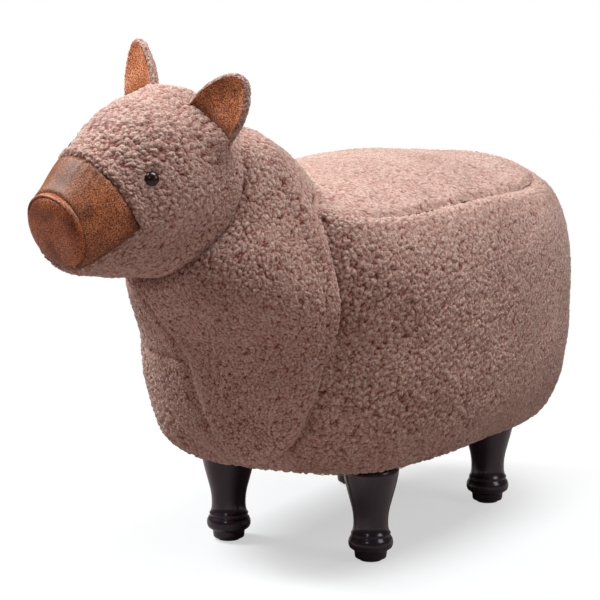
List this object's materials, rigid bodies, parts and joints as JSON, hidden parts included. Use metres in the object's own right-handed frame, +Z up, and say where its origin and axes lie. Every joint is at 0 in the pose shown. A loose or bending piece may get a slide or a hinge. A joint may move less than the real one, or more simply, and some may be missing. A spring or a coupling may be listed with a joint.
{
  "type": "footstool",
  "caption": "Animal-shaped footstool with a plump fleece barrel and head, leather muzzle and ears, and dark turned wooden legs.",
  "frame": {"origin": "on the floor, in the middle of the outline from nose to rump and from side to side", "axes": "+Z up, the animal faces -Y, its left side is +X"},
  "size_m": [0.3522, 0.7215, 0.5277],
  "materials": {
    "fleece": "short curly pile",
    "leather": "distressed, dry sheen",
    "nose_leather": "distressed",
    "dark_wood": "gloss lacquer",
    "pine": "bare",
    "plywood": "bare",
    "zinc_steel": "zinc plated",
    "eye_gloss": "gloss",
    "glide_plastic": "matt",
    "foam": "open-cell foam, wrapped",
    "fibre": "loose fibre filling",
    "dust_cloth": "non-woven"
  },
  "bodies": {
    "root": {"side_cover_left": "fleece", "side_cover_right": "fleece", "seat_cover": "fleece", "neck_cover_left": "fleece", "neck_cover_right": "fleece", "head_cover": "fleece", "ear_back_left": "fleece", "ear_back_right": "fleece", "muzzle_cover": "leather", "ear_front_left": "leather", "ear_front_right": "leather", "nose_panel": "nose_leather", "leg_front_left": "dark_wood", "leg_front_right": "dark_wood", "leg_rear_left": "dark_wood", "leg_rear_right": "dark_wood", "side_rail_left": "pine", "side_rail_right": "pine", "front_rail": "pine", "rear_rail": "pine", "corner_blocks": "pine", "neck_post": "pine", "base_board": "plywood", "seat_board": "plywood", "head_board": "plywood", "frame_screws": "zinc_steel", "neck_screws": "zinc_steel", "neck_bolts": "zinc_steel", "leg_plates": "zinc_steel", "hanger_bolts": "zinc_steel", "staples": "zinc_steel", "eye_left": "eye_gloss", "eye_right": "eye_gloss", "foot_glides": "glide_plastic", "eye_washers": "glide_plastic", "barrel_foam": "foam", "seat_foam": "foam", "neck_filling": "fibre", "head_filling": "fibre", "dust_cover": "dust_cloth", "chin_cover": "fleece"}
  },
  "joints": []
}
